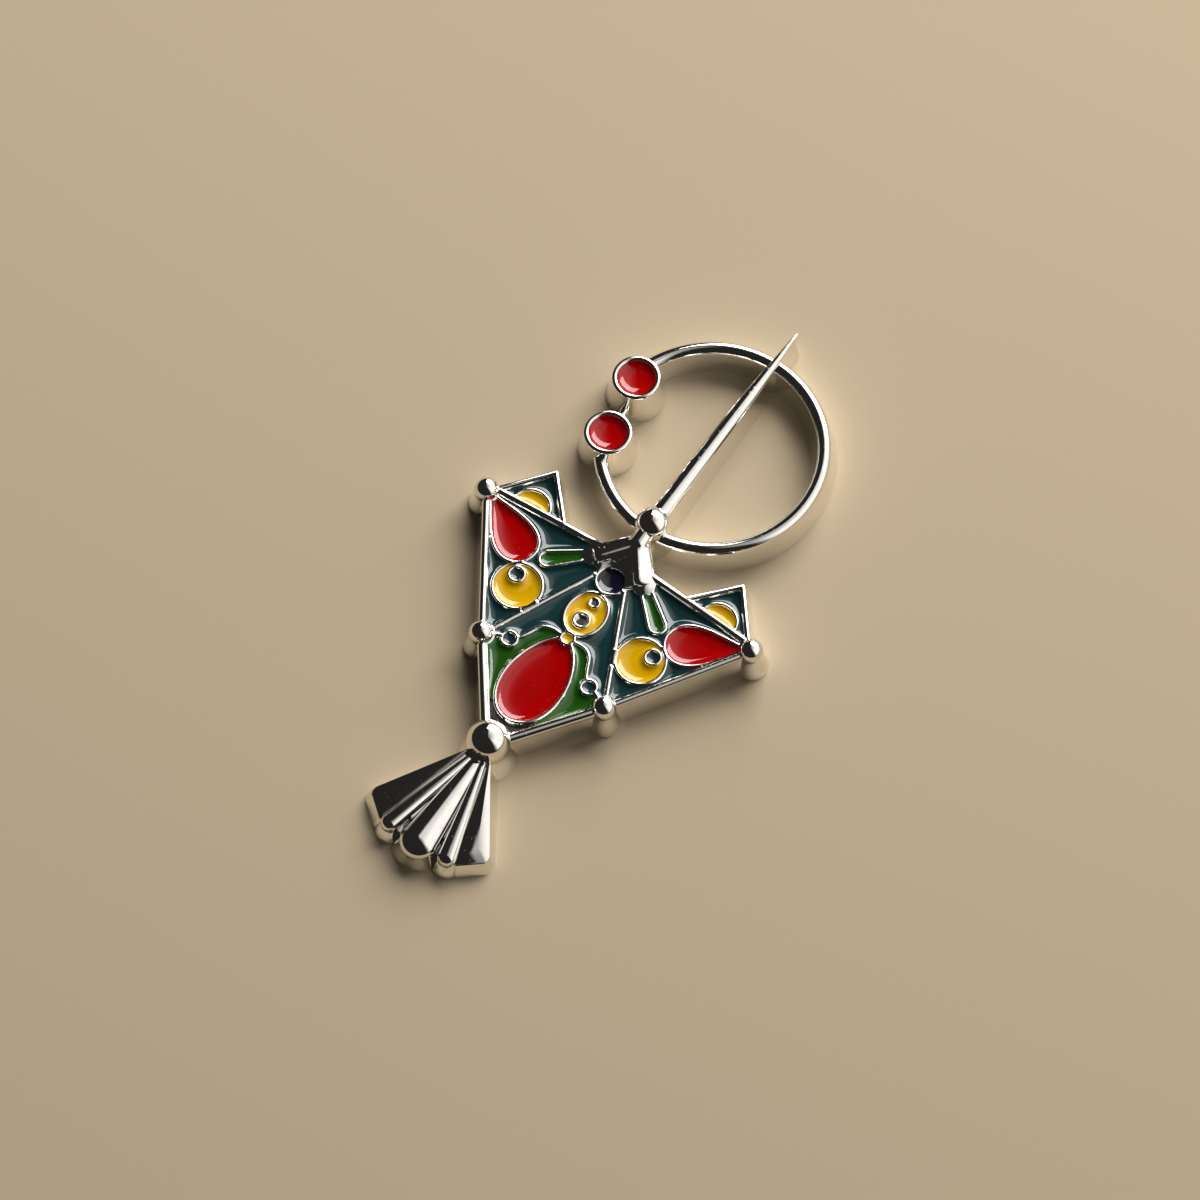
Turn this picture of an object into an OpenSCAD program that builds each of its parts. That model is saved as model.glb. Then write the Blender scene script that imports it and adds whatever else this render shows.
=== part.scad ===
// Triangular folk fibula brooch, cast in one piece, with soft enamel laid in its cells.
// Millimetres. It lies on its flat back: +Y is the needle's direction, +Z is up.
// The origin is under the middle of its outline, on the surface that it lies on.

/* [Plate] */
// Distance between the middles of the two corner balls
wing_span = 18.4; // [15:0.1:24]
// Height of the triangle, from the corner balls' line down to the foot ball's middle
plate_h = 13.24; // [11:0.1:17]
// Height of the plate's walls and thin lines above the surface it lies on
plate_t = 1.66; // [1.4:0.02:2.4]
// How far the cast walls spread outward from their top to their foot
spread = 0.37; // [0.1:0.01:0.6]
// How far the tabs rise above the corner balls' line
tab_rise = 3.15; // [2.2:0.05:4]
// Width of a tab at its foot
tab_w = 4.5; // [3.4:0.1:6]

/* [Rims and lines] */
// Width of the round rims on the wings, their top edges and the tabs
wing_rim_w = 0.46; // [0.3:0.02:0.8]
// Width of the round rims between the side balls and the foot ball
foot_rim_w = 0.6; // [0.4:0.02:1]
// Width of the two long straight lines that part the centre from the wings
divider_w = 0.3; // [0.2:0.01:0.5]
// Width of the thin lines round the enamel
line_w = 0.22; // [0.16:0.01:0.35]
// How far the round rims rise above the plate
rim_rise = 0.15; // [0.05:0.01:0.3]

/* [Balls] */
// Diameter of the corner balls
corner_ball_d = 1.45; // [1:0.05:2.2]
// Diameter of the side balls
side_ball_d = 1.45; // [1:0.05:2.2]
// Diameter of the foot ball
foot_ball_d = 2.58; // [1.8:0.05:3.4]
// Diameter of the head ball, where needle, ring and neck meet
head_ball_d = 2.06; // [1.4:0.05:2.8]
// Height of the balls' middles
ball_z = 1.74; // [1.3:0.02:2.6]
// Distance from the corner balls' line up to the head ball's middle
neck_h = 3.48; // [2.8:0.05:5]

/* [Patterns] */
// Radius of the round end of the wings' red drops
wing_drop_r = 1.18; // [0.8:0.02:1.4]
// Radius of the wings' yellow discs
wing_disc_r = 1.35; // [1:0.02:1.6]
// Radius of the tabs' yellow half discs
half_disc_r = 1.05; // [0.7:0.02:1.3]
// Inner radius of the small rings
small_ring_r = 0.35; // [0.25:0.01:0.5]
// Radius of the dark dot under the collar
dark_dot_r = 0.78; // [0.5:0.02:0.9]
// Half width of the yellow oval
oval_rx = 1.06; // [0.8:0.02:1.3]
// Half height of the yellow oval
oval_ry = 1.38; // [1:0.02:1.6]
// Radius of the small yellow dot
small_dot_r = 0.29; // [0.2:0.01:0.4]
// Half width of the big red drop
big_drop_rx = 1.74; // [1.2:0.02:2]

/* [Ring] */
// Outer diameter of the ring at its wall top
ring_d = 13.8; // [11:0.1:17]
// Width of the ring at its wall top
ring_w = 0.83; // [0.6:0.01:1.2]
// Height of the ring's walls
ring_wall_h = 1.45; // [1:0.05:2.2]
// Height of the ring's crest above its walls
ring_crown = 0.4; // [0.2:0.01:0.6]
// Diameter of the two round terminals at their rim
terminal_d = 2.86; // [2.2:0.02:3.4]
// Height of the terminals
terminal_h = 2.4; // [1.8:0.05:3.2]
// Diameter of the cup in each terminal
cup_d = 2.18; // [1.6:0.02:2.6]
// Depth of the cups
cup_depth = 0.5; // [0.3:0.05:0.9]
// Where the upper terminal sits on the ring, counted from the right side
upper_terminal_deg = 170.6; // [160:0.2:178]
// Where the lower terminal sits on the ring, counted from the right side
lower_terminal_deg = 208.2; // [204:0.2:220]

/* [Needle] */
// Length of the needle, from the head ball's middle to its tip
needle_l = 14.9; // [12:0.1:18]
// Width of the needle at the head ball
needle_w = 1.26; // [0.8:0.02:1.6]
// Width of the needle's tip
needle_tip_w = 0.2; // [0.1:0.02:0.4]
// Height at which the needle is widest
needle_z = 1.8; // [1.5:0.05:2.6]

/* [Tassel] */
// Length of the tassel, from the foot ball's middle to the end of its middle lobe
tassel_l = 8.2; // [6:0.1:11]
// Half width of the tassel at its end
tassel_half_w = 4.1; // [3:0.1:5.5]
// Height of the tassel's flat walls
tassel_t = 0.9; // [0.5:0.05:1.4]
// Height of the outer lobes' ridges
tassel_ridge_z = 1.5; // [1.2:0.05:2.2]

/* [Enamel] */
// Depth of the cells below the top of their lines
cell_depth = 0.36; // [0.2:0.01:0.5]
// How far the enamel stays below the top of the lines
enamel_dip = 0.08; // [0.04:0.01:0.15]
// Clearance between enamel and metal, all round
enamel_gap = 0.015; // [0.01:0.005:0.04]

/* [Back] */
// Depth of the recess in the back
recess_depth = 0.8; // [0.6:0.05:0.9]
// Length of the plain pin in the recess
back_pin_l = 8.4; // [6:0.1:10]
// Width of the plain pin's strip
back_pin_w = 1.4; // [0.8:0.1:2]
// Thickness of the plain pin's strip
back_strip_t = 0.25; // [0.15:0.05:0.4]
// Diameter of the pin's wire
wire_d = 0.36; // [0.24:0.02:0.5]

/* [Hidden] */
$fn = 26;

half = wing_span / 2;
cell_z = plate_t - cell_depth;
enamel_t = cell_depth - enamel_dip;
// The rims' footprints are cut this much wider than the rims
ledge = 0.02;
ball_ledge = 0.08;
wing_drop_slim = 1.6;
big_drop_slim = 0.35;
eps = 0.01;
// The whole brooch is moved so that its outline is centred on the origin
corner_y = (plate_h + tassel_l - neck_h - needle_l) / 2;

metal_colour = "silver";
red = [0.68, 0.02, 0.02];
yellow = [0.9, 0.66, 0.06];
green = [0.11, 0.38, 0.09];
teal = [0.1, 0.24, 0.27];
navy = [0.05, 0.05, 0.12];

// A place on the plate: x as a share of the half span, y as a share of the height below the balls' line
function at(x, y) = [x * half, -y * plate_h];

corner = at(1, 0);
foot = at(0, 1);
side_ball = at(0.463, 0.585);
rim_side = at(0.458, 0.585);
rim_foot = at(0.02, 1);
rod_outer = at(0.965, -0.027);
rod_inner = at(0.174, -0.06);
divider_top = at(0.107, 0.063);
divider_foot = at(0.448, 0.563);
divider_touch = at(0.308, 0.358);
wing_drop_tip = at(0.965, 0.003);
wing_drop_mid = at(0.643, 0.132);
wing_disc_mid = at(0.466, 0.306);
wing_ring_mid = at(0.515, 0.261);
green_end = at(0.415, 0.125);
green_root = at(0.2, 0.0);
tab_mid_x = 0.706 * half;
function rod_y(x) = rod_outer.y + (x - rod_outer.x) * (rod_inner.y - rod_outer.y) / (rod_inner.x - rod_outer.x);
dark_dot_mid = at(0, 0.057);
oval_mid = at(0, 0.2515);
oval_bead_mid = at(0, 0.187);
oval_ring_mid = at(0, 0.2855);
small_dot_mid = at(0, 0.392);
leaf_ring_mid = at(0.3, 0.536);
big_drop_tip = at(0, 0.405);
big_drop_mid = at(0, 0.71);
big_drop_end_r = 0.143 * plate_h;
leaf_pull = [at(0.045, 0.392), at(0.22, 0.37), at(0.19, 0.46), at(0.27, 0.52)];
green_end_r = 0.38;
green_root_r = 0.17;
bead_r = 0.38;

head = [0, neck_h];
collar_top = [0, neck_h - 0.95];
arm_end = [1.78, 0.02];
arm_r = [0.64, 0.57];
ring_mid_r = (ring_d - ring_w) / 2;
ring_centre = [0, neck_h + ring_mid_r - 0.36];
terminal_r_from_centre = ring_mid_r - 0.44;

// Points on an arc round c
function arc(c, r, a0, a1, n) = [for (i = [0:n]) c + r * [cos(a0 + (a1 - a0) * i / n), sin(a0 + (a1 - a0) * i / n)]];
// A teardrop of half width w between its point and the far end of its round side
// A small slim value gives full shoulders, a large one a slender neck
function drop(tip, end, w, slim, n = 36) =
    let (u = (end - tip) / 2, widest = max([for (t = [60:2:150]) sin(t) * pow(sin(t / 2), slim)]))
    let (v = w / widest * [-u.y, u.x] / norm(u))
    [for (i = [0:n - 1]) let (t = 360 * i / n) tip + u * (1 - cos(t)) + v * sin(t) * pow(sin(t / 2), slim)];
// A smooth curve pulled by four points
function pulled(p, n = 8) = [for (i = [0:n]) let (t = i / n)
    pow(1 - t, 3) * p[0] + 3 * t * pow(1 - t, 2) * p[1] + 3 * t * t * (1 - t) * p[2] + pow(t, 3) * p[3]];
// A tapered bar with two round ends
function two_end(c1, r1, c2, r2, n = 10) =
    let (d = norm(c2 - c1), a = atan2(c2.y - c1.y, c2.x - c1.x), b = acos((r1 - r2) / d))
    concat(arc(c1, r1, a + b, a + 360 - b, n * 2), arc(c2, r2, a - b, a + b, n));
// The strip of width w along a row of points
function side_of(p, w) = [for (i = [0:len(p) - 1])
    let (a = p[max(i - 1, 0)], b = p[min(i + 1, len(p) - 1)], t = (b - a) / norm(b - a)) p[i] + w / 2 * [-t.y, t.x]];
function back(p) = [for (i = [len(p) - 1:-1:0]) p[i]];
function strip(p, w) = concat(side_of(p, w), back(side_of(p, -w)));
leaf_line = pulled(leaf_pull);
function round_end(tip, c, r) = c + r * (c - tip) / norm(c - tip);

module both_sides() {
    children();
    mirror([1, 0, 0]) children();
}

module placed() {
    translate([0, corner_y, 0]) children();
}

// A line of metal round a flat shape
module outlined() {
    difference() {
        offset(delta = line_w) children();
        children();
    }
}

module disc(c, r) {
    translate(c) circle(r = r, $fn = r < 0.5 ? 20 : 36);
}

module big_drop_shape() {
    polygon(drop(big_drop_tip, round_end(big_drop_tip, big_drop_mid, big_drop_end_r), big_drop_rx, big_drop_slim));
}
module wing_drop_shape() {
    polygon(drop(wing_drop_tip, round_end(wing_drop_tip, wing_drop_mid, wing_drop_r), wing_drop_r, wing_drop_slim));
}
module green_drop_shape() { polygon(two_end(green_end, green_end_r, green_root, green_root_r)); }
module wing_disc_shape() { disc(wing_disc_mid, wing_disc_r); }
module oval_shape() { translate(oval_mid) scale([oval_rx / oval_ry, 1]) circle(r = oval_ry, $fn = 40); }
module half_disc_shape() {
    intersection() {
        disc([tab_mid_x, rod_y(tab_mid_x)], half_disc_r);
        polygon([for (s = [-1, 1], k = [0, 2]) let (x = tab_mid_x + s * half_disc_r * 1.5)
            [x, rod_y(x) + (s < 0 ? k : 2 - k) * half_disc_r]]);
    }
}

tab_points = [
    [tab_mid_x + tab_w / 2, rod_y(tab_mid_x + tab_w / 2)],
    [tab_mid_x, tab_rise],
    [tab_mid_x - tab_w / 2, rod_y(tab_mid_x - tab_w / 2)]];

// Outlines at the wall top, just inside the outer sides of the round rims
rim_lap = 0.75;
tab_rim_w = wing_rim_w * 0.8;
module rim_strip(a, b, w) {
    polygon(strip([a, b], w));
}
module triangle_shape() {
    both_sides() {
        rim_strip(corner, rim_side, wing_rim_w * rim_lap);
        rim_strip(rim_side, rim_foot, foot_rim_w * rim_lap);
        rim_strip(rod_outer, rod_inner, wing_rim_w * rim_lap);
    }
}
module tab_shape() {
    for (i = [0:2]) rim_strip(tab_points[i], tab_points[(i + 1) % 3], tab_rim_w * rim_lap);
}
module collar_foot_shape() {
    polygon([[-2.1, 0.4], [2.1, 0.4], [0.55, neck_h], [-0.55, neck_h]]);
}

// Footprints of all rims and balls on the plate
module rim_shapes() {
    both_sides() {
        rim_strip(corner, rim_side, wing_rim_w);
        rim_strip(rim_side, rim_foot, foot_rim_w);
        rim_strip(rod_outer, rod_inner, wing_rim_w);
        for (i = [0, 1]) rim_strip(tab_points[i], tab_points[i + 1], tab_rim_w);
        disc(corner, corner_ball_d / 2 + ball_ledge);
        disc(side_ball, side_ball_d / 2 + ball_ledge);
        polygon(two_end(collar_top, arm_r[0] + ball_ledge, arm_end, arm_r[1] + ball_ledge, 7));
    }
    disc(foot, foot_ball_d / 2 + ball_ledge);
}

// Footprints of the thin lines
module line_shapes() {
    both_sides() {
        polygon(strip([divider_top, divider_foot], divider_w));
        difference() {
            union() {
                outlined() wing_drop_shape();
                outlined() green_drop_shape();
                difference() {
                    union() {
                        outlined() wing_disc_shape();
                        outlined() disc(wing_ring_mid, small_ring_r);
                    }
                    wing_drop_shape();
                }
            }
            polygon([divider_top, divider_foot, [-half, divider_foot.y], [-half, divider_top.y]]);
        }
        outlined() half_disc_shape();
        outlined() disc(leaf_ring_mid, small_ring_r);
        polygon(strip(leaf_line, line_w));
        polygon(strip([leaf_ring_mid + [small_ring_r, 0], side_ball], line_w * 1.4));
    }
    outlined() disc(dark_dot_mid, dark_dot_r);
    outlined() oval_shape();
    disc(oval_bead_mid, bead_r);
    outlined() disc(oval_ring_mid, small_ring_r);
    outlined() disc(small_dot_mid, small_dot_r);
    difference() {
        outlined() big_drop_shape();
        disc(small_dot_mid, small_dot_r);
    }
}

module all_lines() {
    offset(delta = ledge) rim_shapes();
    line_shapes();
}

// Regions that hold one colour each, cut to size by the lines round them
module right_half() { translate([0, -2 * plate_h]) square([2 * half, 4 * plate_h]); }
module region_centre_drop() {
    difference() {
        big_drop_shape();
        disc(small_dot_mid, small_dot_r + line_w);
    }
}
module region_wing_drop() { wing_drop_shape(); }
module region_oval() {
    difference() {
        oval_shape();
        disc(oval_ring_mid, small_ring_r + eps);
    }
}
module region_wing_disc() {
    difference() {
        wing_disc_shape();
        offset(r = eps) wing_drop_shape();
        disc(wing_ring_mid, small_ring_r + eps);
        polygon([divider_top, divider_foot, [-half, divider_foot.y], [-half, divider_top.y]]);
    }
}
module region_tab() {
    difference() {
        polygon(tab_points);
        half_disc_shape();
    }
}
module wing_fills() {
    offset(r = eps) {
        wing_drop_shape();
        wing_disc_shape();
        green_drop_shape();
    }
}
module region_wing_side() {
    difference() {
        polygon([corner, rim_side, divider_foot, divider_touch, wing_disc_mid, wing_drop_mid]);
        wing_fills();
    }
}
module region_wing_top() {
    difference() {
        polygon([corner, rod_outer, rod_inner, green_root, green_end, wing_drop_mid]);
        wing_fills();
    }
}
module region_wing_low() {
    difference() {
        polygon([green_root, divider_top, divider_touch, wing_disc_mid, wing_drop_mid, green_end]);
        wing_fills();
    }
}
module region_centre() {
    difference() {
        polygon(concat([dark_dot_mid, divider_top, divider_foot, side_ball, leaf_ring_mid], back(leaf_line), [small_dot_mid]));
        disc(dark_dot_mid, dark_dot_r + eps);
        offset(r = eps) oval_shape();
        disc(small_dot_mid, small_dot_r + eps);
        disc(leaf_ring_mid, small_ring_r + eps);
    }
}
module region_leaf() {
    difference() {
        polygon(concat([small_dot_mid], leaf_line, [leaf_ring_mid, side_ball, rim_side, at(0.17, 0.82), big_drop_mid]));
        offset(r = eps) big_drop_shape();
        disc(small_dot_mid, small_dot_r + eps);
        disc(leaf_ring_mid, small_ring_r + eps);
    }
}

// The bare hollow between the big drop and the foot ball
module region_bare() {
    difference() {
        polygon([foot, rim_foot, at(0.17, 0.82), big_drop_mid]);
        offset(r = line_w / 2) big_drop_shape();
    }
}

// Everything that is cut out of the plate
module cell_shapes() {
    difference() {
        union() {
            both_sides() {
                region_wing_drop();
                region_wing_disc();
                half_disc_shape();
                region_tab();
                region_wing_side();
                region_wing_top();
                region_wing_low();
                region_centre();
                region_leaf();
                region_bare();
                green_drop_shape();
                disc(wing_ring_mid, small_ring_r);
                disc(leaf_ring_mid, small_ring_r);
            }
            disc(dark_dot_mid, dark_dot_r);
            oval_shape();
            disc(oval_ring_mid, small_ring_r);
            disc(small_dot_mid, small_dot_r);
            big_drop_shape();
        }
        all_lines();
    }
}

// A fill of enamel: the region inside its lines, clear of the metal all round
module enamel(colour) {
    color(colour) placed() translate([0, 0, cell_z]) linear_extrude(enamel_t)
        offset(delta = -enamel_gap) difference() {
            children();
            all_lines();
        }
}
module on_right() { children(); }
module on_left() { mirror([1, 0, 0]) children(); }

module red_centre_drop() { enamel(red) region_centre_drop(); }
module red_wing_drop_right() { enamel(red) on_right() region_wing_drop(); }
module red_wing_drop_left() { enamel(red) on_left() region_wing_drop(); }
module yellow_oval() { enamel(yellow) region_oval(); }
module yellow_small_dot() { enamel(yellow) disc(small_dot_mid, small_dot_r); }
module yellow_wing_disc_right() { enamel(yellow) on_right() region_wing_disc(); }
module yellow_wing_disc_left() { enamel(yellow) on_left() region_wing_disc(); }
module yellow_tab_disc_right() { enamel(yellow) on_right() half_disc_shape(); }
module yellow_tab_disc_left() { enamel(yellow) on_left() half_disc_shape(); }
module green_wing_drop_right() { enamel(green) on_right() green_drop_shape(); }
module green_wing_drop_left() { enamel(green) on_left() green_drop_shape(); }
module green_leaf_right() { enamel(green) on_right() region_leaf(); }
module green_leaf_left() { enamel(green) on_left() region_leaf(); }
module dark_dot() { enamel(navy) disc(dark_dot_mid, dark_dot_r); }
module teal_tab_right() { enamel(teal) on_right() region_tab(); }
module teal_tab_left() { enamel(teal) on_left() region_tab(); }
module teal_wing_side_right() { enamel(teal) on_right() region_wing_side(); }
module teal_wing_side_left() { enamel(teal) on_left() region_wing_side(); }
module teal_wing_top_right() { enamel(teal) on_right() region_wing_top(); }
module teal_wing_top_left() { enamel(teal) on_left() region_wing_top(); }
module teal_wing_low_right() { enamel(teal) on_right() region_wing_low(); }
module teal_wing_low_left() { enamel(teal) on_left() region_wing_low(); }
module teal_centre_right() { enamel(teal) on_right() region_centre(); }
module teal_centre_left() { enamel(teal) on_left() region_centre(); }
module teal_wing_ring_right() { enamel(teal) on_right() disc(wing_ring_mid, small_ring_r); }
module teal_wing_ring_left() { enamel(teal) on_left() disc(wing_ring_mid, small_ring_r); }
module teal_leaf_ring_right() { enamel(teal) on_right() disc(leaf_ring_mid, small_ring_r); }
module teal_leaf_ring_left() { enamel(teal) on_left() disc(leaf_ring_mid, small_ring_r); }

// A block whose walls spread from a flat outline at height h to a wider one at its foot
module spread_block(h, s = spread) {
    hull() {
        translate([0, 0, h - eps]) linear_extrude(eps) children();
        linear_extrude(eps) offset(delta = s) children();
    }
}

// A round rim between two points of the plate
module rim(a, b, w) {
    d = b - a;
    translate([a.x, a.y, plate_t + rim_rise - w / 2]) rotate([0, 90, atan2(d.y, d.x)])
        cylinder(h = norm(d), r = w / 2);
}

// A ball on its own round foot
module ball_on_foot(c, d, z, s = spread) {
    translate([c.x, c.y, z]) sphere(r = d / 2);
    translate([c.x, c.y, 0]) cylinder(h = z, r1 = d / 2 + s, r2 = d / 2 * 0.93);
}

// A tapered round rod between two points, with a round end a little proud of it
module lobe(a, b, za, zb, ra, rb) {
    d = [b.x - a.x, b.y - a.y, zb - za];
    translate([a.x, a.y, za]) rotate([0, acos(d.z / norm(d)), atan2(d.y, d.x)])
        cylinder(h = norm(d), r1 = ra, r2 = rb);
    translate([b.x, b.y, zb]) sphere(r = rb * 1.04);
}

module plate_metal() {
    spread_block(plate_t) triangle_shape();
    both_sides() {
        rim(corner, rim_side, wing_rim_w);
        rim(rim_side, rim_foot, foot_rim_w);
        rim(rod_outer, rod_inner, wing_rim_w);
        for (i = [0, 1]) rim(tab_points[i], tab_points[i + 1], tab_rim_w);
        ball_on_foot(corner, corner_ball_d, ball_z);
        ball_on_foot(side_ball, side_ball_d, ball_z);
    }
    spread_block(plate_t) tab_shape();
    mirror([1, 0, 0]) spread_block(plate_t) tab_shape();
    ball_on_foot(foot, foot_ball_d, ball_z, spread * 1.4);
}

// The collar: two smooth arms that spread from the neck over the top of the plate
module collar_metal() {
    linear_extrude(plate_t + 0.05) offset(delta = spread / 2) collar_foot_shape();
    both_sides() hull() {
        translate([-0.07, collar_top.y, 1.72]) sphere(r = arm_r[0], $fn = 16);
        translate([arm_end.x, arm_end.y, 1.55]) sphere(r = arm_r[1], $fn = 16);
    }
}

// The ring with its half round crest and spreading walls, open between the terminals
module ring_metal() {
    w = ring_w / 2;
    translate(ring_centre) rotate([0, 0, lower_terminal_deg])
        rotate_extrude(angle = 360 + upper_terminal_deg - lower_terminal_deg, $fn = 80) polygon(concat(
            [[ring_mid_r - w - spread, 0], [ring_mid_r + w + spread, 0]],
            [for (i = [0:8]) [ring_mid_r + w * cos(180 * i / 8), ring_wall_h + ring_crown * sin(180 * i / 8)]]));
}

function terminal_at(deg) = ring_centre + terminal_r_from_centre * [cos(deg), sin(deg)];

module terminal_metal(deg) {
    r = terminal_d / 2;
    bevel = 0.07;
    cup_z = terminal_h - cup_depth;
    translate(terminal_at(deg)) rotate_extrude($fn = 48) polygon([[0, 0], [r + spread * 0.9, 0],
        [r, terminal_h - bevel * 2], [r - bevel, terminal_h], [cup_d / 2 + bevel / 2, terminal_h],
        [cup_d / 2, terminal_h - bevel / 2], [cup_d / 2, cup_z], [0, cup_z]]);
}

// The low web that ties the two terminals together
module terminal_web() {
    a = terminal_at(upper_terminal_deg);
    b = terminal_at(lower_terminal_deg);
    translate([b.x, b.y, 0]) rotate([0, 0, atan2(a.y - b.y, a.x - b.x)])
        translate([terminal_d / 4, -0.22, 0]) cube([norm(a - b) - terminal_d / 2, 0.44, ring_wall_h * 0.85]);
}

// The needle: a rod in two tapers, standing on its own cast wall
wall_lap = 0.86;
// Rows of the needle: share of its length, share of its width
needle_table = [[0, 1], [0.664, 0.68], [1, needle_tip_w / needle_w]];
module needle_metal() {
    for (i = [0:len(needle_table) - 2]) {
        a = needle_table[i];
        b = needle_table[i + 1];
        translate([0, neck_h + a[0] * needle_l, needle_z]) rotate([-90, 0, 0])
            cylinder(h = (b[0] - a[0]) * needle_l, r1 = a[1] * needle_w / 2, r2 = b[1] * needle_w / 2);
    }
    spread_block(needle_z, spread * 0.9) polygon(concat(
        [for (t = needle_table) [wall_lap * t[1] * needle_w / 2, neck_h + 0.995 * t[0] * needle_l]],
        back([for (t = needle_table) [-wall_lap * t[1] * needle_w / 2, neck_h + 0.995 * t[0] * needle_l]])));
}

// The tassel: a low flat foot with five lobes that fan out from the foot ball
// Its places are shares of its half width and of its length below the foot ball
function fan(x, y) = [x * tassel_half_w, foot.y - y * tassel_l];
tassel_edge = [fan(0.2, 0.1), fan(0.99, 0.71), fan(1, 0.755), fan(0.66, 0.878), fan(0.5, 0.93), fan(0.3, 0.93), fan(0.14, 0.99)];
module tassel_foot_shape() {
    both_sides() polygon(concat([fan(0, 0.05)], tassel_edge, [fan(0, 0.99)]));
}
module roof_lobe() {
    p = [concat(fan(0.2, 0.13), tassel_t - 0.2), concat(fan(0.97, 0.71), tassel_t), concat(fan(0.98, 0.75), tassel_t),
        concat(fan(0.66, 0.87), tassel_t), concat(fan(0.12, 0.17), tassel_t - 0.2), concat(fan(0.2, 0.16), tassel_ridge_z - 0.05),
        concat(fan(0.775, 0.72), tassel_ridge_z)];
    low = [for (q = p) [q.x, q.y, tassel_t - 0.3]];
    polyhedron(concat([for (i = [0:4]) p[i]], [p[5], p[6]], [for (i = [0:4]) low[i]]), [
        [0, 1, 6, 5], [1, 2, 6], [2, 3, 6], [3, 4, 5, 6], [4, 0, 5],
        [7, 8, 1, 0], [8, 9, 2, 1], [9, 10, 3, 2], [10, 11, 4, 3], [11, 7, 0, 4], [11, 10, 9, 8, 7]]);
}
module tassel_metal() {
    spread_block(tassel_t) tassel_foot_shape();
    lobe(fan(0, 0.1), fan(0, 0.9), 1.05, 0.84, 0.42, 0.8);
    both_sides() {
        lobe(fan(0.06, 0.12), fan(0.5, 0.885), 1.1, 0.85, 0.22, 0.42);
        roof_lobe();
    }
}

module recess_shape() {
    polygon([at(-0.6, 0.06), at(0.6, 0.06), at(0.14, 0.7), at(-0.14, 0.7)]);
}

module cast_body() {
    color(metal_colour) placed() difference() {
        union() {
            plate_metal();
            collar_metal();
            ball_on_foot(head, head_ball_d, ball_z + 0.1);
            ring_metal();
            terminal_metal(upper_terminal_deg);
            terminal_metal(lower_terminal_deg);
            terminal_web();
            needle_metal();
            tassel_metal();
        }
        translate([0, 0, cell_z]) linear_extrude(plate_t) offset(delta = 0) cell_shapes();
        translate([0, 0, -1]) linear_extrude(recess_depth + 1) recess_shape();
    }
}

// The fills of the two terminals
module terminal_fill(deg) {
    c = terminal_at(deg);
    color(red) placed() translate([c.x, c.y, terminal_h - cup_depth])
        cylinder(h = cup_depth - enamel_dip, r = cup_d / 2 - enamel_gap);
}
module red_upper_terminal() { terminal_fill(upper_terminal_deg); }
module red_lower_terminal() { terminal_fill(lower_terminal_deg); }

// The plain pin hidden in the recess: a strip on the recess roof, two lugs and a straight wire
module back_pin() {
    y = at(0, 0.17).y;
    lug_t = 0.5;
    lug_h = recess_depth - back_strip_t - 0.04;
    strip_z = recess_depth - back_strip_t;
    color(metal_colour) placed() {
        translate([-back_pin_l / 2, y - back_pin_w / 2, strip_z]) cube([back_pin_l, back_pin_w, back_strip_t]);
        for (s = [-1, 1])
            translate([s * (back_pin_l - lug_t) / 2 - lug_t / 2, y - back_pin_w / 4, strip_z - lug_h])
                cube([lug_t, back_pin_w / 2, lug_h + eps]);
        translate([-back_pin_l / 2 + lug_t / 2, y, strip_z - lug_h + wire_d / 2 + 0.01]) rotate([0, 90, 0])
            cylinder(h = back_pin_l - lug_t, r = wire_d / 2);
    }
}

cast_body();
back_pin();
red_centre_drop();
red_wing_drop_left();
red_wing_drop_right();
red_upper_terminal();
red_lower_terminal();
yellow_oval();
yellow_small_dot();
yellow_wing_disc_left();
yellow_wing_disc_right();
yellow_tab_disc_left();
yellow_tab_disc_right();
green_wing_drop_left();
green_wing_drop_right();
green_leaf_left();
green_leaf_right();
dark_dot();
teal_tab_left();
teal_tab_right();
teal_wing_side_left();
teal_wing_side_right();
teal_wing_top_left();
teal_wing_top_right();
teal_wing_low_left();
teal_wing_low_right();
teal_centre_left();
teal_centre_right();
teal_wing_ring_left();
teal_wing_ring_right();
teal_leaf_ring_left();
teal_leaf_ring_right();
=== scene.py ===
import math

import bmesh
import bpy
import numpy as np
from mathutils import Matrix, Vector, geometry, kdtree


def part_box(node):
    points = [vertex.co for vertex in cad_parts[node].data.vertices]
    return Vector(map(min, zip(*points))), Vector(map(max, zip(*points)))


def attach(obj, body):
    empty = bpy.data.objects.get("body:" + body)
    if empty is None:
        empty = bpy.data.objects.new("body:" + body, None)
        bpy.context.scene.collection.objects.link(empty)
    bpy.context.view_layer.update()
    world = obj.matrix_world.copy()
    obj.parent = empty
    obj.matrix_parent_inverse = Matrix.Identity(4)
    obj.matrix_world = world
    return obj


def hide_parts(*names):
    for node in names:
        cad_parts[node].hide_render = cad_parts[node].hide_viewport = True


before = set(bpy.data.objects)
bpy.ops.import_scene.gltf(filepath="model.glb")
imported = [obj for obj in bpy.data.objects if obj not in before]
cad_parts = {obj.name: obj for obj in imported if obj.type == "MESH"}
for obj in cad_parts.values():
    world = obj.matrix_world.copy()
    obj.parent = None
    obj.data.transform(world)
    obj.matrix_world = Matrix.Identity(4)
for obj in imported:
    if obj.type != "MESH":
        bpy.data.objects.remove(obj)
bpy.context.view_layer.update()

# The plate: a low triangular block with spreading walls and two tabs on its top edge.
# It is cast in zinc alloy with every other metal part of the brooch, and it lies on its
# flat back. Shallow cells are sunk into its face, and a hollow into its back.
MM = 0.001
HALF_SPAN = 9.2
PLATE_DROP = 13.24
BALL_LINE_Y = 1.53
WALL_TOP = 1.56
CELL_FLOOR = 1.3
WALL_SPREAD = 0.37
RIM_LAP = 0.17
TAB_LAP = 0.13
TAB_HALF = 2.25
TAB_HEIGHT = 3.15
NECK_Y = BALL_LINE_Y + 3.48


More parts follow.
